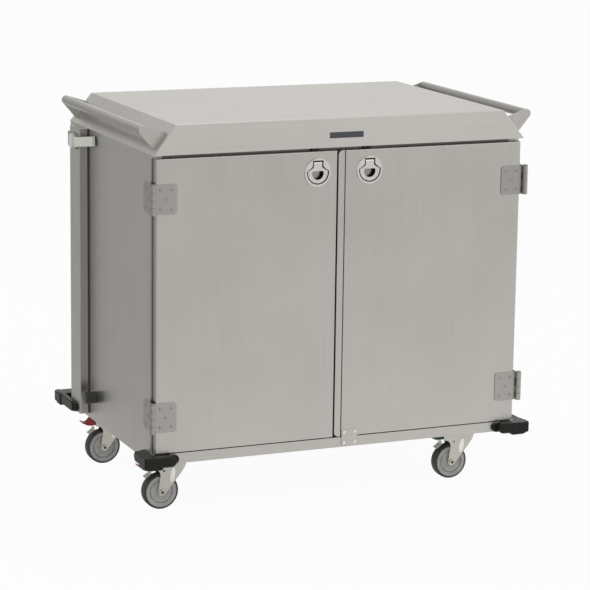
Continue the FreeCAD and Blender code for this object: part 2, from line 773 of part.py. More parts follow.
# Shelves on angle runners
def shelf_runner(rise):
    z1 = floor_z + rise - sheet
    x1 = half_width - sheet
    y1 = half_depth - shelf_rear_gap
    upright = block(x1 - runner_sheet, x1, shelf_front_y, y1, z1 - runner_leg, z1)
    ledge = block(x1 - runner_leg, x1, shelf_front_y, y1, z1 - runner_sheet, z1)
    return join(upright, ledge)


def shelf(rise):
    z1 = floor_z + rise
    half_x = half_width - sheet - shelf_side_gap
    y1 = half_depth - shelf_rear_gap
    lip_x = half_width - sheet - runner_leg - sheet
    top = block(-half_x, half_x, shelf_front_y, y1, z1 - sheet, z1)
    lips = []
    for y in (shelf_front_y, y1 - sheet):
        lips.append(block(-lip_x, lip_x, y, y + sheet, z1 - shelf_lip, z1 - sheet))
    return join(top, *lips)


# Caster pieces, made round a swivel axis at the origin with the wheel trailing toward -X
axle_z = wheel_radius
fork_half = wheel_width / 2 + fork_wheel_gap + fork_sheet
axle_radius = axle_diameter / 2
plate_bottom_z = caster_height - caster_plate_thickness


def caster_top_plate():
    plate = block(-caster_plate_length / 2, caster_plate_length / 2, -caster_plate_width / 2,
                  caster_plate_width / 2, plate_bottom_z, caster_height)
    plate = plate.makeFillet(caster_plate_corner, edges_along(plate, Z_AXIS, lambda point: True))
    race_z = fork_crown_z + race_height + race_gap
    race = Part.makeCone(race_radius - race_height / 2, race_radius, plate_bottom_z - race_z, V(0, 0, race_z))
    crown_under_z = fork_crown_z - fork_sheet
    kingpin = rod(V(0, 0, crown_under_z - race_gap), Z_AXIS, kingpin_diameter / 2,
                  plate_bottom_z - crown_under_z + race_gap)
    head = rod(V(0, 0, crown_under_z - race_gap - kingpin_head_height), Z_AXIS, kingpin_head_radius,
               kingpin_head_height)
    return join(plate, race, kingpin, head)


def fork_plan(half, reach_back):
    body = block(-reach_back, fork_nose_offset, -half, half, 0, fork_crown_z)
    return join(body, rod(V(fork_nose_offset, 0, 0), Z_AXIS, half, fork_crown_z))


def fork_side_outline():
    nose_x = fork_nose_offset + fork_half
    boss = V(-caster_trail, 0, axle_z)
    lead = tangent_point(V(nose_x, 0, fork_nose_z), boss, fork_boss_radius, -1)
    trail = tangent_point(V(-fork_waist_reach, 0, fork_waist_z), boss, fork_boss_radius, 1)
    curl = V(-(fork_waist_reach + fork_tail_reach) / 2 + sheet, 0, fork_tail_z - sheet)
    edges = [
        Part.LineSegment(lead, V(nose_x, 0, fork_nose_z)).toShape(),
        Part.LineSegment(V(nose_x, 0, fork_nose_z), V(nose_x, 0, fork_crown_z)).toShape(),
        Part.LineSegment(V(nose_x, 0, fork_crown_z), V(-fork_tail_reach, 0, fork_crown_z)).toShape(),
        Part.LineSegment(V(-fork_tail_reach, 0, fork_crown_z), V(-fork_tail_reach, 0, fork_tail_z)).toShape(),
        Part.Arc(V(-fork_tail_reach, 0, fork_tail_z), curl, V(-fork_waist_reach, 0, fork_waist_z)).toShape(),
        Part.LineSegment(V(-fork_waist_reach, 0, fork_waist_z), trail).toShape(),
        Part.Arc(trail, V(boss.x, 0, boss.z - fork_boss_radius), lead).toShape()]
    outline = Part.Face(Part.Wire(edges)).extrude(V(0, 2 * fork_half, 0))
    outline.translate(V(0, -fork_half, 0))
    return outline


def caster_fork():
    shell = fork_plan(fork_half, fork_tail_reach)
    shell = shell.cut(fork_plan(fork_half - fork_sheet, fork_tail_reach + fork_sheet))
    legs = shell.common(fork_side_outline())
    crown = fork_plan(fork_half, fork_tail_reach)
    crown = crown.common(block(-fork_tail_reach, fork_nose_offset + fork_half, -fork_half, fork_half,
                               fork_crown_z - fork_sheet, fork_crown_z))
    race = Part.makeCone(race_radius, race_radius - race_height / 2, race_height, V(0, 0, fork_crown_z))
    pedal_pin = rod(V(-pedal_pin_reach, -fork_half, pedal_pin_z), Y_AXIS, pedal_pin_diameter / 2,
                    2 * fork_half)
    bore = rod(V(0, 0, fork_crown_z - fork_sheet), Z_AXIS, kingpin_diameter / 2 + running_clearance,
               fork_sheet + race_height)
    axle_hole = rod(V(-caster_trail, -fork_half, axle_z), Y_AXIS, axle_radius, 2 * fork_half)
    flank_hole = rod(V(-fork_hole_reach, -fork_half, fork_crown_z - fork_hole_drop), Y_AXIS,
                     fork_hole_diameter / 2, 2 * fork_half)
    return join(legs, crown, race, pedal_pin).cut(bore).cut(axle_hole).cut(flank_hole)


def caster_axle():
    shank = rod(V(-caster_trail, -fork_half, axle_z), Y_AXIS, axle_radius, 2 * fork_half)
    outer_y = fork_half + axle_head_length
    heads = []
    for y in (-outer_y, fork_half):
        heads.append(rod(V(-caster_trail, y, axle_z), Y_AXIS, axle_head_radius, axle_head_length))
    axle = join(shank, *heads)
    for y in (-outer_y, outer_y - axle_recess_depth):
        axle = axle.cut(rod(V(-caster_trail, y, axle_z), Y_AXIS, axle_recess_radius, axle_recess_depth))
    return axle


def wheel_ring(points):
    profile = [V(-caster_trail, y, axle_z + radius) for y, radius in points]
    return rotated_ring(profile, V(-caster_trail, 0, axle_z), Y_AXIS)


def caster_tyre():
    half = wheel_width / 2
    inner = wheel_radius - tread_depth
    shoulder = tread_depth / 2
    crown = wheel_radius - tread_crown
    return wheel_ring([(-half, inner), (-half, wheel_radius - shoulder), (-half + shoulder, crown),
                       (-half / 2, wheel_radius), (half / 2, wheel_radius),
                       (half - shoulder, crown), (half, wheel_radius - shoulder), (half, inner)])


def caster_hub():
    half = wheel_width / 2
    rim = wheel_radius - tread_depth
    groove_out = hub_groove_radius + hub_groove_width / 2
    groove_in = hub_groove_radius - hub_groove_width / 2
    face = half - hub_dish_depth / 2
    boss_face = half + fork_wheel_gap - hub_side_gap
    bore = axle_radius + running_clearance
    right = [(half, rim), (half, groove_out), (face - hub_dish_depth, groove_out),
             (face - hub_dish_depth, groove_in), (face, groove_in), (face, hub_boss_radius),
             (boss_face, hub_boss_radius), (boss_face, bore)]
    left = [(-y, radius) for y, radius in reversed(right)]
    return wheel_ring(right + left)


# Foot pedal: a wedge that rises behind the fork and ends in an upturned lip
def caster_pedal():
    half = fork_half - fork_sheet - fork_wheel_gap
    back = -fork_tail_reach - 2 * fork_sheet
    front = back - pedal_block_length
    tip = -pedal_tip_reach
    heel_z = pedal_pin_z - pedal_barrel_radius
    lip_z = heel_z + pedal_lip_thickness
    points = [V(-pedal_pin_reach, -half, heel_z), V(front, -half, heel_z),
              V((front + tip) / 2, -half, heel_z + pedal_lip_thickness),
              V(tip, -half, pedal_tip_z - pedal_lip_thickness), V(tip, -half, pedal_tip_z),
              V((front + tip) / 2, -half, lip_z + pedal_lip_thickness),
              V(front, -half, lip_z + pedal_lip_thickness), V(back - fork_sheet, -half, pedal_block_z),
              V(back, -half, pedal_block_z), V(back, -half, pedal_pin_z + pedal_barrel_radius),
              V(-pedal_pin_reach, -half, pedal_pin_z + pedal_barrel_radius)]
    wedge = prism(points, V(0, 2 * half, 0))
    barrel = rod(V(-pedal_pin_reach, -half, pedal_pin_z), Y_AXIS, pedal_barrel_radius, 2 * half)
    bore = rod(V(-pedal_pin_reach, -half, pedal_pin_z), Y_AXIS, pedal_pin_diameter / 2 + running_clearance,
               2 * half)
    return join(wedge, barrel).cut(bore)


def at_caster(shape, x, y):
    placed = shape.copy()
    placed.translate(V(x, y, 0))
    return placed


# Cabinet
save("base_pan", base_pan())
save("base_channels", cross_channel(-caster_x), cross_channel(caster_x))
right_side = side_panel()
save("right_side_panel", right_side)
save("left_side_panel", mirrored(right_side))
save("rear_panel", rear_panel())
save("front_header", front_header())
save("roof_liner", roof_liner())
save("lid_shell", lid_shell())
tube = handle_tube()
save("right_handle", tube)
save("left_handle", mirrored(tube))
save("handle_brackets", *handle_brackets())
post = side_post()
save("right_post", post)
save("left_post", mirrored(post))
puck = rubber_stop()
save("rubber_door_stops", puck, mirrored(puck))
front = front_bumper()
save("front_right_bumper", front)
save("front_left_bumper", mirrored(front))
rear = rear_bumper()
save("rear_right_bumper", rear)
save("rear_left_bumper", mirrored(rear))
base = catch_base()
save("catch_bases", base, mirrored(base))
catch = hold_open_catch()
save("right_catch", catch)
save("left_catch", mirrored(catch))
runners = [shelf_runner(rise) for rise in shelf_heights]
save("shelf_runners", *runners, *[mirrored(runner) for runner in runners])
save("shelves", *[shelf(rise) for rise in shelf_heights])
save("door_seal", door_seal())

# Doors and hinges
save("left_door_outer_pan", door_outer_pan(-door_edge_x, meeting_gap_x, -latch_x))
save("left_door_inner_pan", door_inner_pan(-door_edge_x, meeting_gap_x))
save("left_meeting_seal", meeting_seal())
save("right_door_outer_pan", door_outer_pan(right_door_x, door_edge_x, latch_x))
save("right_door_inner_pan", door_inner_pan(right_door_x, door_edge_x))
save("right_meeting_strip", meeting_strip())
save("bottom_stop_plate", bottom_stop_plate())
door_leaves = [door_leaf(rise) for rise in hinge_foot_heights]
save("right_hinge_door_leaves", *door_leaves)
save("left_hinge_door_leaves", *[mirrored(leaf) for leaf in door_leaves])
body_leaves = [body_leaf(rise) for rise in hinge_foot_heights]
save("hinge_body_leaves", *body_leaves, *[mirrored(leaf) for leaf in body_leaves])
pins = [hinge_pin(rise) for rise in hinge_foot_heights]
save("hinge_pins", *pins, *[mirrored(pin) for pin in pins])
for side, x in (("left", -latch_x), ("right", latch_x)):
    save(side + "_latch_dish", latch_dish(x))
    save(side + "_latch_pull", latch_pull(x))
    save(side + "_latch_bolt", latch_bolt(x))
save("latch_keepers", latch_keeper(-latch_x), latch_keeper(latch_x))

# Casters
fork = caster_fork()
axle = caster_axle()
tyre = caster_tyre()
hub = caster_hub()
pedal = caster_pedal()
top_plates = []
for side, x in (("left", -caster_x), ("right", caster_x)):
    for end, y in (("front", -caster_y), ("rear", caster_y)):
        place = end + "_" + side + "_caster_"
        save(place + "fork", at_caster(fork, x, y), at_caster(axle, x, y))
        save(place + "hub", at_caster(hub, x, y))
        save(place + "tyre", at_caster(tyre, x, y))
        save(place + "pedal", at_caster(pedal, x, y))
        top_plates.append(at_caster(caster_top_plate(), x, y))
save("caster_top_plates", *top_plates)
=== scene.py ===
import json
import math
import bmesh
import bpy
from mathutils import Matrix, Vector


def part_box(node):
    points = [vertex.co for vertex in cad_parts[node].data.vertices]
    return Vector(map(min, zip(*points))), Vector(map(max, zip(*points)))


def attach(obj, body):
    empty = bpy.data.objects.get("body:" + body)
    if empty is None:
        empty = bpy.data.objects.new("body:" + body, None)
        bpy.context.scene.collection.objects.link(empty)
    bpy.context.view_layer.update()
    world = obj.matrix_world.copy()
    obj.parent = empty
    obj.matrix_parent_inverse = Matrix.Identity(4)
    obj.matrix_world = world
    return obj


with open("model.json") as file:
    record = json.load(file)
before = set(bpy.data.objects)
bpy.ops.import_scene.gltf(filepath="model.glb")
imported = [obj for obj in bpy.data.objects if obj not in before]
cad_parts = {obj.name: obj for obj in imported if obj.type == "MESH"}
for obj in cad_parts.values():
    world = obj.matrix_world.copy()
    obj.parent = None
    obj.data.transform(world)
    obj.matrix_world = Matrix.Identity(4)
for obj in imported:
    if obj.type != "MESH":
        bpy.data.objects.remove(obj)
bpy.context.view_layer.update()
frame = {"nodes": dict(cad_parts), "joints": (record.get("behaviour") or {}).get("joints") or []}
nodes = frame["nodes"]
scene = bpy.context.scene

CASTERS = ("front_left", "front_right", "rear_left", "rear_right")
SIDES = (("left", -1), ("right", 1))

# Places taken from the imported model, in metres
joint_at = {joint["name"]: Vector(joint["pos_m"]) for joint in frame["joints"] if "pos_m" in joint}
door_front_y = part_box("left_door_outer_pan")[0].y
panel_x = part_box("right_side_panel")[1].x
leaf_low, leaf_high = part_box("right_hinge_door_leaves")
lid_low, lid_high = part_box("lid_shell")
plate_low, plate_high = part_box("bottom_stop_plate")
caster_top_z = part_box("caster_top_plates")[1].z


# Materials

# Scratches per metre along and across the grain, and how much coarser the roughness is than the scratches
GRAIN_ALONG = 6.0
GRAIN_ACROSS = 700.0
GRAIN_COARSER = 9
# Behind a latch's face, for the painted shade in its cup: the depth at which the shade is full, and the radius of
# the less shaded middle of the cup
SHADE_DEPTH = 0.004
LESS_SHADED_RADIUS = 0.020
SHADED_RADIUS = 0.024


def new_material(name, colour, rough, metallic):
    mat = bpy.data.materials.new(name)
    mat.use_nodes = True
    shader = mat.node_tree.nodes["Principled BSDF"]
    shader.inputs["Base Color"].default_value = (*colour, 1)
    shader.inputs["Roughness"].default_value = rough
    shader.inputs["Metallic"].default_value = metallic
    return mat, mat.node_tree, shader


def noise_at(tree, scale, detail, stretch=(1, 1, 1)):
    coords = tree.nodes.new("ShaderNodeTexCoord")
    mapping = tree.nodes.new("ShaderNodeMapping")
    mapping.inputs["Scale"].default_value = stretch
    noise = tree.nodes.new("ShaderNodeTexNoise")
    noise.inputs["Scale"].default_value = scale
    noise.inputs["Detail"].default_value = detail
    noise.inputs["Roughness"].default_value = 0.6
    tree.links.new(coords.outputs["Object"], mapping.inputs["Vector"])
    tree.links.new(mapping.outputs["Vector"], noise.inputs["Vector"])
    return noise.outputs["Fac"]


def ramp(tree, value, start, end, low, high):
    node = tree.nodes.new("ShaderNodeMapRange")
    node.inputs["From Min"].default_value = start
    node.inputs["From Max"].default_value = end
    node.inputs["To Min"].default_value = low
    node.inputs["To Max"].default_value = high
    tree.links.new(value, node.inputs["Value"])
    return node.outputs["Result"]


def spread(tree, value, low, high):
    return ramp(tree, value, 0.3, 0.7, low, high)


def times(tree, a, b):
    node = tree.nodes.new("ShaderNodeMath")
    node.operation = "MULTIPLY"
    tree.links.new(a, node.inputs[0])
    tree.links.new(b, node.inputs[1])
    return node.outputs["Value"]


def tint(tree, colour, value):
    node = tree.nodes.new("ShaderNodeVectorMath")
    node.operation = "SCALE"
    node.inputs[0].default_value = colour
    tree.links.new(value, node.inputs["Scale"])
    return node.outputs["Vector"]


def bumped(tree, shader, height, strength, distance, edge):
    bump = tree.nodes.new("ShaderNodeBump")
    bump.inputs["Strength"].default_value = strength
    bump.inputs["Distance"].default_value = distance
    tree.links.new(height, bump.inputs["Height"])
    bevel = tree.nodes.new("ShaderNodeBevel")
    bevel.samples = 4
    bevel.inputs["Radius"].default_value = edge
    tree.links.new(bevel.outputs["Normal"], bump.inputs["Normal"])
    tree.links.new(bump.outputs["Normal"], shader.inputs["Normal"])


# Steel with fine scratches along one axis and a slow cloudiness, as rolled and brushed sheet has
def brushed_steel(name, colour, rough, grain, streak=0.035, cloud=0.03, edge=0.0010):
    mat, tree, shader = new_material(name, colour, rough, 1.0)
    along = [GRAIN_ALONG if axis == grain else GRAIN_ACROSS for axis in "XYZ"]
    fine = noise_at(tree, 1.0, 3.0, along)
    coarse = noise_at(tree, 1.0, 2.0, [value / GRAIN_COARSER for value in along])
    slow = noise_at(tree, 3.0, 2.0)
    streaks = spread(tree, fine, 1 - streak, 1 + streak)
    shade = times(tree, streaks, spread(tree, slow, 1 - cloud, 1 + cloud))
    tree.links.new(tint(tree, colour, shade), shader.inputs["Base Color"])
    tree.links.new(spread(tree, coarse, rough - 0.04, rough + 0.04), shader.inputs["Roughness"])
    bumped(tree, shader, fine, 0.04, 0.0003, edge)
    return mat


# Painted shade: a factor that darkens the faces which turn away from the front, such as the walls of a gap or
# opening
def painted_wall_shade(tree, coords):
    split = tree.nodes.new("ShaderNodeSeparateXYZ")
    tree.links.new(coords.outputs["Normal"], split.inputs["Vector"])
    facing = tree.nodes.new("ShaderNodeMath")
    facing.operation = "ABSOLUTE"
    tree.links.new(split.outputs["Y"], facing.inputs[0])
    return ramp(tree, facing.outputs["Value"], 0.15, 0.45, 0.32, 1.0)


# Painted shade: a factor that darkens what lies behind the plane y = start, most of all away from the axis through
# centre
def painted_depth_shade(tree, coords, start, centre):
    split = tree.nodes.new("ShaderNodeSeparateXYZ")
    tree.links.new(coords.outputs["Object"], split.inputs["Vector"])
    flat = tree.nodes.new("ShaderNodeCombineXYZ")
    for axis in "XZ":
        tree.links.new(split.outputs[axis], flat.inputs[axis])
    away = tree.nodes.new("ShaderNodeVectorMath")
    away.operation = "DISTANCE"
    tree.links.new(flat.outputs["Vector"], away.inputs[0])
    away.inputs[1].default_value = (centre.x, 0, centre.z)
    corner = ramp(tree, away.outputs["Value"], LESS_SHADED_RADIUS, SHADED_RADIUS, 0.56, 0.85)
    depth = times(tree, corner, ramp(tree, split.outputs["Y"], start, start + SHADE_DEPTH, 0.0, 1.0))
    return ramp(tree, depth, 0.0, 1.0, 1.0, 0.0)


# Plated or polished metal with faint stains. Where a plane y is given, its walls and all that lies behind that
# plane are darkened with painted shade
def plated(name, colour, rough, edge=0.0008, painted_shade_from=None, centre=None):
    mat, tree, shader = new_material(name, colour, rough, 1.0)
    stain = noise_at(tree, 45.0, 4.0)
    fine = noise_at(tree, 600.0, 2.0)
    shade = spread(tree, stain, 0.94, 1.04)
    if painted_shade_from is not None:
        coords = tree.nodes.new("ShaderNodeTexCoord")
        painted_shade = times(tree, painted_wall_shade(tree, coords), painted_depth_shade(tree, coords, painted_shade_from, centre))
        shade = times(tree, shade, painted_shade)
    tree.links.new(tint(tree, colour, shade), shader.inputs["Base Color"])
    tree.links.new(spread(tree, stain, rough - 0.04, rough + 0.06), shader.inputs["Roughness"])
    bumped(tree, shader, fine, 0.03, 0.0002, edge)
    return mat


# Rubber or plastic: mottled, with a fine moulded skin
def moulded(name, colour, rough, grain_scale, strength, edge=0.0010, mottle=0.12, gloss=0.5):
    mat, tree, shader = new_material(name, colour, rough, 0.0)
    shader.inputs["Specular IOR Level"].default_value = gloss
    mottling = noise_at(tree, 60.0, 3.0)
    skin = noise_at(tree, grain_scale, 3.0)
    shade = spread(tree, mottling, 1 - mottle, 1 + mottle)
    tree.links.new(tint(tree, colour, shade), shader.inputs["Base Color"])
    tree.links.new(spread(tree, mottling, rough - 0.06, rough + 0.06), shader.inputs["Roughness"])
    bumped(tree, shader, skin, strength, 0.0004, edge)
    return mat


SHEET = (0.540, 0.530, 0.509)
POLISHED = (0.80, 0.79, 0.765)
# The plane behind which the latches' metal has painted shade
SHADE_START = door_front_y + 0.0005
steel_upright = brushed_steel("steel_upright", SHEET, 0.34, "Z")
steel_lid = brushed_steel("steel_lid", SHEET, 0.34, "X")
steel_tube = brushed_steel("steel_tube", (0.435, 0.427, 0.41), 0.30, "Y")
steel_inner = brushed_steel("steel_inner", (0.60, 0.59, 0.57), 0.42, "X")
hinge_steel = brushed_steel("hinge_steel", (0.41, 0.403, 0.387), 0.32, "Z", streak=0.02)
rivet_steel = plated("rivet_steel", (0.36, 0.355, 0.34), 0.42)
latch_metal = {}
for side, _ in SIDES:
    dish_low, dish_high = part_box(side + "_latch_dish")
    latch_metal[side] = plated(side + "_latch_metal", POLISHED, 0.17, painted_shade_from=SHADE_START,
                               centre=(dish_low + dish_high) / 2)
screw_metal = plated("screw_metal", POLISHED, 0.17)
# The front header's steel is darkened as painted shade for the gap between the lid and the doors
shaded_header_steel = brushed_steel("shaded_header_steel", (0.20, 0.196, 0.187), 0.45, "X")
# Dark steel of the latch bolts and keepers, also used for the painted shade in the axle heads' sockets
bolt_steel_and_socket_shade = plated("bolt_steel_and_socket_shade", (0.05, 0.05, 0.05), 0.45)
caster_metal = plated("caster_metal", (0.54, 0.533, 0.49), 0.26)
# The pressings' metal is brighter than the forks' own: a painted highlight on the raised ovals
pressing_highlight_metal = plated("pressing_highlight_metal", (0.82, 0.815, 0.79), 0.20)
bumper_black = moulded("bumper_black", (0.010, 0.0135, 0.0105), 0.34, 500.0, 0.2, gloss=0.22)
stop_black = moulded("stop_black", (0.030, 0.030, 0.027), 0.45, 500.0, 0.2)
# Black rubber of the seals, also used for the dark strips that are painted shade in gaps
seal_and_shade_black = moulded("seal_and_shade_black", (0.035, 0.035, 0.035), 0.60, 500.0, 0.2)
tyre_black = moulded("tyre_black", (0.045, 0.045, 0.045), 0.60, 400.0, 0.3)
hub_grey = moulded("hub_grey", (0.45, 0.452, 0.45), 0.42, 450.0, 0.2)
catch_white = moulded("catch_white", (0.66, 0.68, 0.63), 0.42, 400.0, 0.15, mottle=0.05)
pedal_red = moulded("pedal_red", (0.36, 0.022, 0.025), 0.38, 400.0, 0.15)
pedal_green = moulded("pedal_green", (0.012, 0.07, 0.045), 0.38, 400.0, 0.15)
plate_blank = moulded("plate_blank", (0.05, 0.055, 0.07), 0.35, 500.0, 0.1)

looks = {
    steel_upright: ("left_door_outer_pan", "right_door_outer_pan", "right_meeting_strip", "left_side_panel",
                    "right_side_panel", "rear_panel", "left_post", "right_post", "handle_brackets"),
    steel_lid: ("lid_shell", "base_pan", "bottom_stop_plate"),
    steel_tube: ("left_handle", "right_handle"),
    shaded_header_steel: ("front_header",),
    steel_inner: ("base_channels", "roof_liner", "shelf_runners", "shelves",
                  "left_door_inner_pan", "right_door_inner_pan"),
    hinge_steel: ("hinge_body_leaves", "hinge_pins", "left_hinge_door_leaves", "right_hinge_door_leaves",
                  "catch_bases"),
    bolt_steel_and_socket_shade: ("latch_keepers", "left_latch_bolt", "right_latch_bolt"),
    latch_metal["left"]: ("left_latch_dish", "left_latch_pull"),
    latch_metal["right"]: ("right_latch_dish", "right_latch_pull"),
    bumper_black: ("front_left_bumper", "front_right_bumper", "rear_left_bumper", "rear_right_bumper"),
    stop_black: ("rubber_door_stops",),
    seal_and_shade_black: ("door_seal", "left_meeting_seal"),
    catch_white: ("left_catch", "right_catch"),
    caster_metal: ("caster_top_plates", *[place + "_caster_fork" for place in CASTERS]),
    hub_grey: [place + "_caster_hub" for place in CASTERS],
    tyre_black: [place + "_caster_tyre" for place in CASTERS],
    pedal_red: ("front_left_caster_pedal", "rear_left_caster_pedal"),
    pedal_green: ("front_right_caster_pedal", "rear_right_caster_pedal"),
}
for mat, names in looks.items():
    for name in names:
        slots = nodes[name].data.materials
        slots.clear()
        slots.append(mat)


# Small pieces: each group of like fasteners is one mesh that rides on its body

def piece(name, bm, mat, body):
    mesh = bpy.data.meshes.new(name)
    bmesh.ops.recalc_face_normals(bm, faces=bm.faces)
    bm.to_mesh(mesh)
    bm.free()
    mesh.materials.append(mat)
    obj = bpy.data.objects.new(name, mesh)
    scene.collection.objects.link(obj)
    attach(obj, body)
    return obj


def join_rings(bm, low, high, smooth):
    for index in range(len(low)):
        after = (index + 1) % len(low)
        bm.faces.new((low[index], low[after], high[after], high[index])).smooth = smooth


def skin_rings(bm, rings, smooth):
    for low, high in zip(rings, rings[1:]):
        join_rings(bm, low, high, smooth)
    bm.faces.new(rings[-1])
    bm.faces.new(list(reversed(rings[0])))


# A turned head seated on a face: profile points are (radius, height) from the rim up to the crown
def add_head(bm, centre, outward, profile, segments=20):
    outward = Vector(outward).normalized()
    side = outward.orthogonal().normalized()
    other = outward.cross(side)
    rings = []
    for radius, height in profile:
        ring = []
        for index in range(segments):
            angle = 2 * math.pi * index / segments
            offset = side * (radius * math.cos(angle)) + other * (radius * math.sin(angle))
            ring.append(bm.verts.new(Vector(centre) + outward * height + offset))
        rings.append(ring)
    skin_rings(bm, rings, segments > 6)


# A rivet's or screw's domed head, sunk a little into the face it holds
def dome(radius, height):
    return [(radius, -0.0004), (radius, height * 0.25), (radius * 0.86, height * 0.62),
            (radius * 0.55, height * 0.9), (radius * 0.2, height)]


RIVET = dome(0.0042, 0.0014)
SCREW = dome(0.0050, 0.0022)
BOLT = [(0.0065, -0.0005), (0.0065, 0.0045), (0.0058, 0.0052), (0.002, 0.0053)]

# Five rivets on each hinge leaf, at these steps from the pin's line and the leaf's foot
HINGE_SHEET = 0.0025
HINGE_HEIGHT = 0.087
RIVET_STEPS = ((0.0605, 0.016), (0.0265, 0.016), (0.0605, 0.071), (0.0265, 0.071), (0.0435, 0.0435))
pin_at = joint_at["right_door_swing"]
hinge_feet = (leaf_low.z, leaf_high.z - HINGE_HEIGHT)
body_rivets = bmesh.new()
for side, sign in SIDES:
    door_rivets = bmesh.new()
    for foot in hinge_feet:
        for step, rise in RIVET_STEPS:
            on_door = (sign * (pin_at.x - step), door_front_y - HINGE_SHEET, foot + rise)
            on_body = (sign * (panel_x + HINGE_SHEET), pin_at.y + step, foot + rise)
            add_head(door_rivets, on_door, (0, -1, 0), RIVET)
            add_head(body_rivets, on_body, (sign, 0, 0), RIVET)
    piece(side + "_hinge_rivets", door_rivets, rivet_steel, side + "_door")
piece("body_hinge_rivets", body_rivets, rivet_steel, "cabinet")

PLATE_SCREW_INSET = 0.008
screws = bmesh.new()
for x in (plate_low.x + PLATE_SCREW_INSET, plate_high.x - PLATE_SCREW_INSET):
    for z in (plate_low.z + PLATE_SCREW_INSET, plate_high.z - PLATE_SCREW_INSET):
        add_head(screws, (x, plate_low.y, z), (0, -1, 0), SCREW)
piece("stop_plate_screws", screws, screw_metal, "right_door")

# Dark strips that are painted shade in shadow gaps: a section of (x, y) points round a corner, between two heights
SUNK = 0.0003


def upright_gap_shade(name, corner, sign, section, heights, body):
    dark_strip = bmesh.new()
    rings = []
    for z in heights:
        rings.append([dark_strip.verts.new((corner[0] + sign * x, corner[1] + y, z)) for x, y in section])
    skin_rings(dark_strip, rings, False)
    piece(name, dark_strip, seal_and_shade_black, body)


# Painted shade for the shadow gap in the corner where the front of each post meets the side panel
POST_GAP_SHADE_WIDTH = 0.0045
POST_GAP_SHADE_PROUD = 0.0020
POST_GAP_SHADE_FOOT_GAP = 0.001
POST_GAP_SHADE_TOP_GAP = 0.0005
post_gap_shade_section = [
    (-SUNK, SUNK), (POST_GAP_SHADE_WIDTH, SUNK), (POST_GAP_SHADE_WIDTH, 0),
    (POST_GAP_SHADE_WIDTH * 0.8, -POST_GAP_SHADE_PROUD * 0.55), (POST_GAP_SHADE_WIDTH * 0.45, -POST_GAP_SHADE_PROUD * 0.9),
    (0, -POST_GAP_SHADE_PROUD), (-SUNK, -POST_GAP_SHADE_PROUD)]
for side, sign in SIDES:
    post_low, post_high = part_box(side + "_post")
    heights = (post_low.z + POST_GAP_SHADE_FOOT_GAP, post_high.z - POST_GAP_SHADE_TOP_GAP)
    upright_gap_shade(side + "_post_gap_shade", (sign * panel_x, post_low.y), sign, post_gap_shade_section, heights, "cabinet")

# Painted shade for the shadow gap along the meeting strip's edge on the right door
STRIP_GAP_SHADE_WIDTH = 0.0020
STRIP_GAP_SHADE_PROUD = 0.0008
STRIP_GAP_SHADE_END_GAP = 0.001
strip_gap_shade_section = [
    (-SUNK, SUNK), (STRIP_GAP_SHADE_WIDTH, SUNK), (STRIP_GAP_SHADE_WIDTH, 0),
    (STRIP_GAP_SHADE_WIDTH * 0.6, -STRIP_GAP_SHADE_PROUD * 0.7), (0, -STRIP_GAP_SHADE_PROUD), (-SUNK, -STRIP_GAP_SHADE_PROUD)]
strip_low, strip_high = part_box("right_meeting_strip")
upright_gap_shade("right_strip_gap_shade", (strip_high.x, door_front_y), 1, strip_gap_shade_section,
             (strip_low.z + STRIP_GAP_SHADE_END_GAP, strip_high.z - STRIP_GAP_SHADE_END_GAP), "right_door")

# A thin dark lip on each latch dish, all round the opening that the pull lies in: painted shade for the gap round
# the pull. Its profile points are the share of its width, out from the opening, and the height off the dish's face
OPENING_SHADE_WIDTH = 0.0012
OPENING_SHADE_PROUD = 0.0005
OPENING_SHADE_PROFILE = ((0.04, SUNK), (0.04, -OPENING_SHADE_PROUD * 0.7), (0.5, -OPENING_SHADE_PROUD), (1.0, -OPENING_SHADE_PROUD * 0.5), (1.0, SUNK))
OPENING_RADIUS = 0.0332
OPENING_SHOULDER = 0.005
OPENING_NECK = 0.0152
OPENING_FOOT = 0.0182
OPENING_TOP = 0.0342
OPENING_SAG = 0.002
ARC_STEPS = 36
FLANK_STEPS = 8


# The opening's bulb outline, grown outwards, as (x, z) points about the dish's centre
def bulb_outline(grow):
    radius, neck = OPENING_RADIUS + grow, OPENING_NECK + grow
    foot, top = OPENING_FOOT + grow, OPENING_TOP + grow
    rise = math.asin(OPENING_SHOULDER / radius)
    points = []
    for step in range(ARC_STEPS + 1):
        angle = (math.pi + 2 * rise) * step / ARC_STEPS - rise
        points.append((-radius * math.cos(angle), -radius * math.sin(angle)))
    shoulder = (radius * math.cos(rise), OPENING_SHOULDER)
    bend = ((shoulder[0] + neck) / 2 - 2 * OPENING_SAG, (OPENING_SHOULDER + foot) / 2)
    right = []
    for step in range(1, FLANK_STEPS + 1):
        t = step / FLANK_STEPS
        right.append(tuple((1 - t) ** 2 * a + 2 * t * (1 - t) * b + t ** 2 * c
                           for a, b, c in zip(shoulder, bend, (neck, foot))))
    right += [(neck, (foot + top) / 2), (neck, top)]
    return points + right + [(0, top)] + [(-x, z) for x, z in reversed(right)]


for side, _ in SIDES:
    dish_low, dish_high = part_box(side + "_latch_dish")
    centre = (dish_low + dish_high) / 2
    opening_shade = bmesh.new()
    rings = []
    for share, y in OPENING_SHADE_PROFILE:
        rings.append([opening_shade.verts.new((centre.x + x, dish_low.y + y, centre.z + z))
                      for x, z in bulb_outline(share * OPENING_SHADE_WIDTH)])
    for low, high in zip(rings, rings[1:] + rings[:1]):
        join_rings(opening_shade, low, high, False)
    piece(side + "_latch_opening_shade", opening_shade, seal_and_shade_black, side + "_door")

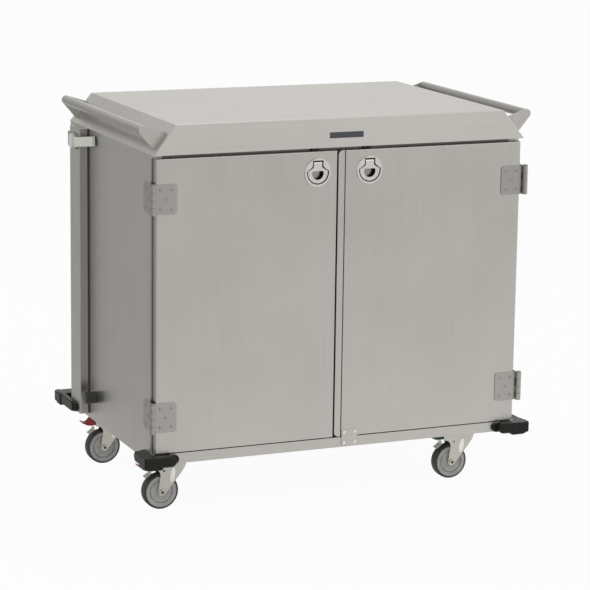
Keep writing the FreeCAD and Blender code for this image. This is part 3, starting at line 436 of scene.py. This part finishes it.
# Four hexagon bolt heads under each caster's top plate, at these steps from the swivel's axis
CASTER_PLATE_THICKNESS = 0.004
CASTER_BOLT_X = 0.036
CASTER_BOLT_Y = 0.0285
caster_bolts = bmesh.new()
for place in CASTERS:
    swivel = joint_at[place + "_swivel_turn"]
    for dx in (-CASTER_BOLT_X, CASTER_BOLT_X):
        for dy in (-CASTER_BOLT_Y, CASTER_BOLT_Y):
            under = (swivel.x + dx, swivel.y + dy, caster_top_z - CASTER_PLATE_THICKNESS)
            add_head(caster_bolts, under, (0, 0, -1), BOLT, 6)
piece("caster_bolts", caster_bolts, caster_metal, "cabinet")


# On each fork's flanks, a shallow oval pressing under the swivel, in a brighter metal that is a painted highlight,
# and a dark disc in each axle head that is painted shade in its socket
FORK_HALF = 0.022
PRESSING_AT = (-0.018, 0.1035)
PRESSING_HALF = (0.0088, 0.0235)
PRESSING_TILT = math.radians(6)
PRESSING_POINTS = 32
PRESSING_RISE = ((1.0, -0.0003), (0.97, 0.0004), (0.86, 0.0011), (0.68, 0.0016), (0.42, 0.0019), (0.15, 0.0020))
# In each axle head's socket, a dark hexagon disc that is painted shade: its distance out from the axle's middle,
# and its profile
SOCKET_FLOOR = 0.0245
SOCKET_SHADE = [(0.0043, -0.0004), (0.0043, 0.0004), (0.0034, 0.0006)]


def oval_pressing(bm, centre, outward):
    rings = []
    for share, rise in PRESSING_RISE:
        ring = []
        for index in range(PRESSING_POINTS):
            angle = 2 * math.pi * index / PRESSING_POINTS
            across, along = (half * share for half in PRESSING_HALF)
            x, z = across * math.cos(angle), along * math.sin(angle)
            x, z = (x * math.cos(PRESSING_TILT) + z * math.sin(PRESSING_TILT),
                    z * math.cos(PRESSING_TILT) - x * math.sin(PRESSING_TILT))
            ring.append(bm.verts.new(centre + Vector((x, outward * rise, z))))
        rings.append(ring)
    skin_rings(bm, rings, True)


for place in CASTERS:
    swivel = joint_at[place + "_swivel_turn"]
    axle = joint_at[place + "_wheel_roll"]
    pressings = bmesh.new()
    socket_shades = bmesh.new()
    for outward in (-1, 1):
        at = Vector((swivel.x + PRESSING_AT[0], swivel.y + outward * FORK_HALF, PRESSING_AT[1]))
        oval_pressing(pressings, at, outward)
        add_head(socket_shades, (axle.x, axle.y + outward * SOCKET_FLOOR, axle.z), (0, outward, 0), SOCKET_SHADE, 6)
    piece(place + "_fork_pressings", pressings, pressing_highlight_metal, place + "_swivel")
    piece(place + "_axle_socket_shades", socket_shades, bolt_steel_and_socket_shade, place + "_swivel")


# Brake leaf: a bent spring plate that hangs from the pedal's heel and lies off the tread
LEAF_LINE = ((-0.016, -0.005), (-0.0105, -0.0165), (-0.0105, -0.0215), (-0.016, -0.0265), (-0.028, -0.035))
LEAF_WIDTH = 0.024
LEAF_THICKNESS = 0.0025
LEAF_BEVEL = 0.0005


def brake_leaf(bm, pin):
    line = [Vector((x, 0, z)) for x, z in LEAF_LINE]
    rings = []
    for index, point in enumerate(line):
        ahead = (line[min(index + 1, len(line) - 1)] - line[max(index - 1, 0)]).normalized()
        normal = Vector((ahead.z, 0, -ahead.x)) * (LEAF_THICKNESS / 2)
        across = Vector((0, LEAF_WIDTH / 2, 0))
        corners = (normal + across, normal - across, -normal - across, -normal + across)
        rings.append([bm.verts.new(pin + point + corner) for corner in corners])
    skin_rings(bm, rings, False)


for place in CASTERS:
    leaf = bmesh.new()
    brake_leaf(leaf, joint_at[place + "_pedal_press"])
    bmesh.ops.bevel(leaf, geom=leaf.edges[:], offset=LEAF_BEVEL, segments=2, affect="EDGES")
    piece(place + "_brake_leaf", leaf, caster_metal, place + "_brake")


# Blank plate at the badge's place on the lid front, which leans back a little
LID_FACE_INSET = 0.0085
BADGE_X = 0.007
BADGE_RISE = 0.035
BADGE_WIDTH = 0.106
BADGE_HEIGHT = 0.017
BADGE_DEPTH = 0.0015
BADGE_CORNER = 0.002
BADGE_BEVEL = 0.0004
BADGE_SUNK = 0.0004
CORNER_STEPS = 6


def rounded_plate(bm, place):
    half_width, half_height = BADGE_WIDTH / 2, BADGE_HEIGHT / 2
    outline = []
    for cx, cz, start in ((1, 1, 0), (-1, 1, 90), (-1, -1, 180), (1, -1, 270)):
        for step in range(CORNER_STEPS + 1):
            angle = math.radians(start + 90 / CORNER_STEPS * step)
            outline.append((cx * (half_width - BADGE_CORNER) + BADGE_CORNER * math.cos(angle),
                            cz * (half_height - BADGE_CORNER) + BADGE_CORNER * math.sin(angle)))
    rings = []
    for inset, y in ((0, BADGE_SUNK), (0, BADGE_BEVEL - BADGE_DEPTH), (BADGE_BEVEL, -BADGE_DEPTH)):
        share_x = (half_width - inset) / half_width
        share_z = (half_height - inset) / half_height
        rings.append([bm.verts.new(place @ Vector((x * share_x, y, z * share_z))) for x, z in outline])
    skin_rings(bm, rings, False)


lid_slope = LID_FACE_INSET / (lid_high.z - lid_low.z)
badge_place = Matrix.Translation((BADGE_X, lid_low.y + lid_slope * BADGE_RISE, lid_low.z + BADGE_RISE))
badge = bmesh.new()
rounded_plate(badge, badge_place @ Matrix.Rotation(-math.atan(lid_slope), 4, "X"))
piece("blank_plate", badge, plate_blank, "cabinet")


# Camera at the photograph's viewing angle, solved from the cabinet's straight edges
CAMERA_AT = (-2.874, -6.7705, 2.094)
CAMERA_YAW_PITCH_ROLL = (-23.093, 11.864, 0.782)
CAMERA_SENSOR = 36
CAMERA_LENS = 149.8
CAMERA_REACH = 200


def set_camera():
    yaw, pitch, roll = (math.radians(angle) for angle in CAMERA_YAW_PITCH_ROLL)
    back = Vector((math.sin(yaw) * math.cos(pitch), -math.cos(yaw) * math.cos(pitch), math.sin(pitch)))
    right = Vector((math.cos(yaw), math.sin(yaw), 0))
    up = back.cross(right)
    right, up = (right * math.cos(roll) + up * math.sin(roll),
                 up * math.cos(roll) - right * math.sin(roll))
    data = bpy.data.cameras.new("camera")
    data.sensor_width = CAMERA_SENSOR
    data.lens = CAMERA_LENS
    data.clip_end = CAMERA_REACH
    camera = bpy.data.objects.new("camera", data)
    turned = Matrix((right, up, back)).transposed().to_4x4()
    turned.translation = CAMERA_AT
    camera.matrix_world = turned
    scene.collection.objects.link(camera)
    scene.camera = camera


# Floor, lights and world. Ramps are (start, end, value at start, value at end) along an axis
WHITE = (1, 1, 1, 1)
WARM = (1.0, 0.985, 0.96, 1)
FLOOR_HALF = 40
FLOOR_LIT = (0.66, 0.655, 0.645, 1)
FLOOR_WHITE_SHARE = 0.95
FLOOR_MIRROR_SHARE = 0.80
FLOOR_MIRROR_X = (-1.0, -0.2, 0.48, 1.0)
FLOOR_MIRROR_Y = (-5.0, -0.5, 0.72, 1.0)
WORLD_SOFT = 0.78
WORLD_MIRROR_X = (-0.45, 0.35, 0.51, 0.93)
WORLD_MIRROR_Y = (-0.9, 0.2, 1.18, 1.0)
# Name, place, target, size in metres and power in watts
LAMPS = (
    ("key", (3.8, -4.2, 4.4), (0, 0, 0.6), (6.0, 5.0), 12),
    ("fill", (-4.0, -3.5, 2.6), (0, 0, 0.6), (5.0, 4.0), 24),
    ("top", (0, 0.6, 4.8), (0, 0, 1.0), (3.0, 2.4), 28),
    ("side", (4.5, -0.5, 1.2), (0, 0, 0.6), (2.2, 2.4), 7),
    ("rim", (-3.0, 4.0, 3.5), (-0.5, 0, 1.1), (2.0, 2.0), 6),
)


def light_path(tree, *kinds):
    path = tree.nodes.new("ShaderNodeLightPath")
    total = path.outputs[kinds[0]]
    for kind in kinds[1:]:
        node = tree.nodes.new("ShaderNodeMath")
        node.operation = "MAXIMUM"
        tree.links.new(total, node.inputs[0])
        tree.links.new(path.outputs[kind], node.inputs[1])
        total = node.outputs["Value"]
    return total


def by_place(tree, coords, x_ramp, y_ramp):
    split = tree.nodes.new("ShaderNodeSeparateXYZ")
    tree.links.new(coords, split.inputs["Vector"])
    return times(tree, ramp(tree, split.outputs["X"], *x_ramp), ramp(tree, split.outputs["Y"], *y_ramp))


def mixed(tree, share, first, second):
    mix = tree.nodes.new("ShaderNodeMixShader")
    tree.links.new(share, mix.inputs[0])
    tree.links.new(first.outputs[0], mix.inputs[1])
    tree.links.new(second.outputs[0], mix.inputs[2])
    return mix


# The floor is white to the camera, with the cart's soft shadow. Steel mirrors it dimmer on the left and far out in
# front
def make_floor():
    bm = bmesh.new()
    bmesh.ops.create_grid(bm, x_segments=1, y_segments=1, size=FLOOR_HALF)
    mesh = bpy.data.meshes.new("floor")
    bm.to_mesh(mesh)
    bm.free()
    floor = bpy.data.objects.new("floor", mesh)
    scene.collection.objects.link(floor)
    mat = bpy.data.materials.new("floor_pale")
    mat.use_nodes = True
    tree = mat.node_tree
    tree.nodes.clear()
    out = tree.nodes.new("ShaderNodeOutputMaterial")
    lit = tree.nodes.new("ShaderNodeBsdfDiffuse")
    lit.inputs["Color"].default_value = FLOOR_LIT
    white = tree.nodes.new("ShaderNodeEmission")
    white.inputs["Color"].default_value = WHITE
    mirrored = tree.nodes.new("ShaderNodeEmission")
    mirrored.inputs["Color"].default_value = WARM
    coords = tree.nodes.new("ShaderNodeTexCoord").outputs["Object"]
    tree.links.new(by_place(tree, coords, FLOOR_MIRROR_X, FLOOR_MIRROR_Y), mirrored.inputs["Strength"])
    seen = ramp(tree, light_path(tree, "Is Camera Ray"), 0, 1, 0, FLOOR_WHITE_SHARE)
    reflected = light_path(tree, "Is Glossy Ray", "Is Transmission Ray")
    reflected = ramp(tree, reflected, 0, 1, 0, FLOOR_MIRROR_SHARE)
    shown = mixed(tree, reflected, mixed(tree, seen, lit, white), mirrored)
    tree.links.new(shown.outputs[0], out.inputs["Surface"])
    mesh.materials.append(mat)


# A white backdrop, which the steel mirrors dimmer on the left than on the right, and brightest in front
def make_world():
    world = bpy.data.worlds.new("studio")
    scene.world = world
    world.use_nodes = True
    tree = world.node_tree
    tree.nodes.clear()
    out = tree.nodes.new("ShaderNodeOutputWorld")
    soft = tree.nodes.new("ShaderNodeBackground")
    soft.inputs["Color"].default_value = WARM
    soft.inputs["Strength"].default_value = WORLD_SOFT
    mirrored = tree.nodes.new("ShaderNodeBackground")
    mirrored.inputs["Color"].default_value = WARM
    coords = tree.nodes.new("ShaderNodeTexCoord").outputs["Generated"]
    tree.links.new(by_place(tree, coords, WORLD_MIRROR_X, WORLD_MIRROR_Y), mirrored.inputs["Strength"])
    white = tree.nodes.new("ShaderNodeBackground")
    white.inputs["Color"].default_value = WHITE
    shown = mixed(tree, light_path(tree, "Is Glossy Ray", "Is Transmission Ray"), soft, mirrored)
    shown = mixed(tree, light_path(tree, "Is Camera Ray"), shown, white)
    tree.links.new(shown.outputs[0], out.inputs["Surface"])


def area_light(name, place, target, size, power):
    data = bpy.data.lights.new(name, "AREA")
    data.shape = "RECTANGLE"
    data.size, data.size_y = size
    data.energy = power
    lamp = bpy.data.objects.new(name, data)
    lamp.location = place
    aim = Vector(target) - Vector(place)
    lamp.rotation_euler = aim.to_track_quat("-Z", "Y").to_euler()
    scene.collection.objects.link(lamp)


set_camera()
make_floor()
make_world()
for lamp in LAMPS:
    area_light(*lamp)
scene.view_settings.view_transform = "Standard"
